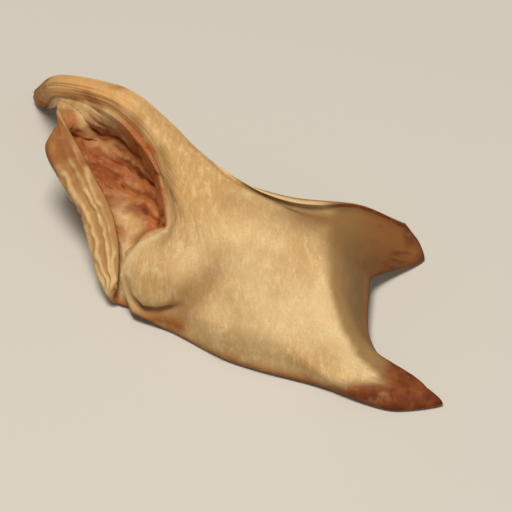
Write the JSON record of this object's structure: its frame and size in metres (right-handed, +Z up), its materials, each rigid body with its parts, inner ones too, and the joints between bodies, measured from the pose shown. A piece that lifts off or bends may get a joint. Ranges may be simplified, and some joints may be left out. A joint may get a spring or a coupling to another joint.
{
  "type": "dried chanterelle",
  "caption": "Whole small dried chanterelle: felt-topped cap drawn up into a star, folded on one side, with forking false gills beneath and a thin bent stem.",
  "frame": {"origin": "at table height, under the middle of the piece's box", "axes": "+Z up as it lies; +X from the stem side towards the horn; -Y towards the long lower margin"},
  "size_m": [0.0514, 0.054, 0.0204],
  "materials": {
    "dried_flesh": "matt, felted on top, darker and waxy at the margin and in the folds"
  },
  "bodies": {
    "root": {"chanterelle": "dried_flesh"}
  },
  "joints": []
}
